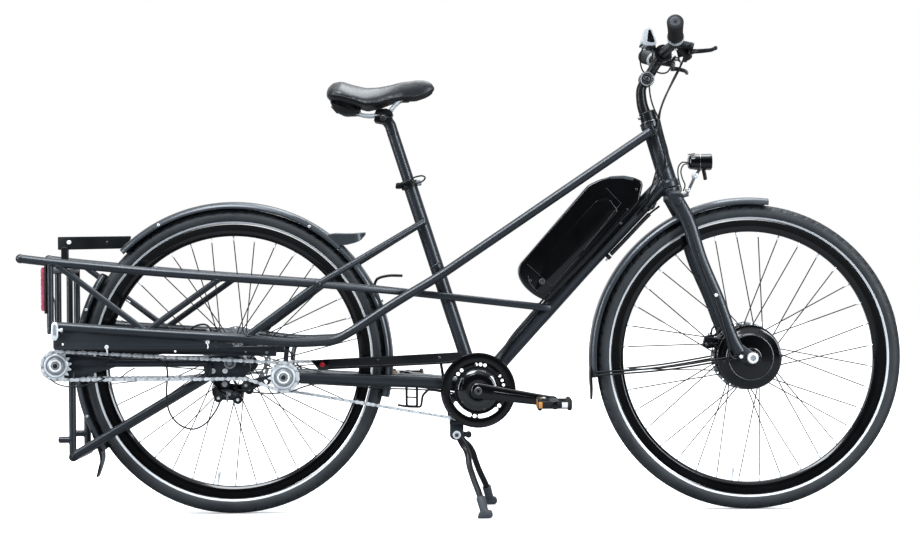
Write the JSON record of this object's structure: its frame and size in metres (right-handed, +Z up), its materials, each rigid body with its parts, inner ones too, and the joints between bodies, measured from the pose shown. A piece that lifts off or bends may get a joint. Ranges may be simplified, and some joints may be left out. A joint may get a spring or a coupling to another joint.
{
  "type": "convertible cargo bicycle",
  "caption": "Convertible cargo bicycle, rear wheel swung into the load bay, hub motor in front, frame battery, two-leg stand, mudguards and lamps.",
  "frame": {"origin": "on the ground under the middle of the bicycle", "axes": "+X forward, +Y to the rider's left, +Z up"},
  "size_m": [2.0181, 0.6294, 1.117],
  "materials": {
    "frame_paint": "satin graphite metallic paint",
    "mudguard": "satin graphite",
    "black_metal": "semi-gloss black",
    "black_plastic": "moulded black",
    "steel": "ground steel",
    "silver_steel": "bright plated",
    "grip_rubber": "matt",
    "tyre_rubber": "matt black with a pale reflective line",
    "lamp_red": "clear red lens",
    "display_grey": "pale grey",
    "battery_case": "moulded black",
    "saddle_cover": "smooth synthetic cover"
  },
  "bodies": {
    "frame": {"head_tube": "frame_paint", "down_tube": "frame_paint", "seat_tube": "frame_paint", "bottom_bracket_shell": "frame_paint", "main_rail_right": "frame_paint", "main_rail_left": "frame_paint", "side_truss_right": "frame_paint", "side_truss_left": "frame_paint", "rear_gate": "frame_paint", "load_floor_right": "frame_paint", "load_floor_left": "frame_paint", "chain_stay_right": "frame_paint", "chain_stay_left": "frame_paint", "rear_fender_top": "mudguard", "fender_arm": "black_metal", "rear_fender_front": "mudguard", "seat_clamp": "black_metal", "chain_cover": "black_plastic", "chain_front": "steel", "chain_mid": "silver_steel", "tail_lamp": "lamp_red"},
    "battery": {"battery_pack": "battery_case"},
    "steering": {"fork": "frame_paint", "stem": "black_metal", "handlebar": "black_metal", "grip_right": "grip_rubber", "grip_left": "grip_rubber", "control_right": "black_metal", "control_left": "black_metal", "display": "display_grey", "headlight": "black_plastic", "front_fender": "mudguard", "front_caliper": "black_metal"},
    "lever_right": {"brake_lever_right": "black_metal"},
    "lever_left": {"brake_lever_left": "black_metal"},
    "front_wheel": {"front_tyre": "tyre_rubber", "front_rim": "black_metal", "front_hub_motor": "black_metal", "front_rotor": "steel"},
    "swing": {"swing_frame": "frame_paint", "rear_fender_rear": "mudguard", "derailleur": "black_metal", "chain_rear": "steel", "rear_caliper": "black_metal"},
    "rear_wheel": {"rear_tyre": "tyre_rubber", "rear_rim": "black_metal", "rear_hub": "black_metal", "rear_rotor": "steel"},
    "cassette": {"cassette": "steel"},
    "crank": {"crank_arm_right": "black_metal", "crank_arm_left": "black_metal", "chainring": "black_metal"},
    "pedal_right": {"pedal_right": "black_metal"},
    "pedal_left": {"pedal_left": "black_metal"},
    "jackshaft": {"jackshaft_sprocket": "silver_steel"},
    "pivot_shaft": {"pivot_sprocket": "silver_steel"},
    "stand": {"kickstand": "black_metal"},
    "seat": {"seatpost": "black_metal", "saddle": "saddle_cover"},
    "seat_lever": {"seat_qr_lever": "steel"}
  },
  "joints": [
    {"name": "steering_turn", "type": "hinge", "parent": "frame", "child": "steering", "pos_m": [0.4552, 0, 0.82305], "axis": [-0.2847, 0, 0.9586], "range_deg": [-38, 38]},
    {"name": "front_wheel_spin", "type": "hinge", "parent": "steering", "child": "front_wheel", "pos_m": [0.656, 0, 0.353], "axis": [0, 1, 0], "continuous": true},
    {"name": "swing_fold", "type": "hinge", "parent": "frame", "child": "swing", "pos_m": [-0.9293, 0, 0.351], "axis": [0, 1, 0], "range_deg": [0, 180]},
    {"name": "rear_wheel_spin", "type": "hinge", "parent": "swing", "child": "rear_wheel", "pos_m": [-0.5377, 0, 0.353], "axis": [0, 1, 0], "continuous": true},
    {"name": "crank_spin", "type": "hinge", "parent": "frame", "child": "crank", "pos_m": [0.028, 0, 0.284], "axis": [0, 1, 0], "continuous": true},
    {"name": "pedal_right_spin", "type": "hinge", "parent": "crank", "child": "pedal_right", "pos_m": [0.19626, -0.158, 0.25975], "axis": [0, 1, 0], "continuous": true},
    {"name": "pedal_left_spin", "type": "hinge", "parent": "crank", "child": "pedal_left", "pos_m": [-0.14026, 0.158, 0.30825], "axis": [0, 1, 0], "continuous": true},
    {"name": "jackshaft_spin", "type": "hinge", "parent": "frame", "child": "jackshaft", "pos_m": [-0.413, -0.077, 0.3203], "axis": [0, 1, 0], "continuous": true},
    {"name": "pivot_shaft_spin", "type": "hinge", "parent": "frame", "child": "pivot_shaft", "pos_m": [-0.9293, -0.077, 0.351], "axis": [0, 1, 0], "continuous": true},
    {"name": "cassette_spin", "type": "hinge", "parent": "swing", "child": "cassette", "pos_m": [-0.5377, -0.043, 0.353], "axis": [0, 1, 0], "continuous": true},
    {"name": "stand_fold", "type": "hinge", "parent": "frame", "child": "stand", "pos_m": [-0.022, 0, 0.181], "axis": [0, 1, 0], "range_deg": [0, 100]},
    {"name": "seatpost_slide", "type": "slide", "parent": "frame", "child": "seat", "axis": [-0.3037, 0, 0.9528], "range_m": [-0.11, 0.06]},
    {"name": "seat_lever_open", "type": "hinge", "parent": "frame", "child": "seat_lever", "pos_m": [-0.151, -0.013, 0.757], "axis": [0.3037, 0, -0.9528], "range_deg": [0, 120]},
    {"name": "brake_lever_right_pull", "type": "hinge", "parent": "steering", "child": "lever_right", "pos_m": [0.508, -0.167, 1.043], "axis": [0, 0, -1], "range_deg": [0, 16], "stiffness_Nm_per_rad": 1, "springref_deg": -11.46},
    {"name": "brake_lever_left_pull", "type": "hinge", "parent": "steering", "child": "lever_left", "pos_m": [0.508, 0.167, 1.043], "axis": [0, 0, 1], "range_deg": [0, 16], "stiffness_Nm_per_rad": 1, "springref_deg": -11.46},
    {"name": "battery_slide", "type": "slide", "parent": "frame", "child": "battery", "axis": [0.676, 0, 0.7369], "range_m": [0, 0.018]}
  ],
  "couplings": [
    {"joint": "jackshaft_spin", "follows": "crank_spin", "ratio": 2.25},
    {"joint": "pivot_shaft_spin", "follows": "crank_spin", "ratio": 2.25},
    {"joint": "cassette_spin", "follows": "crank_spin", "ratio": 2.25}
  ]
}
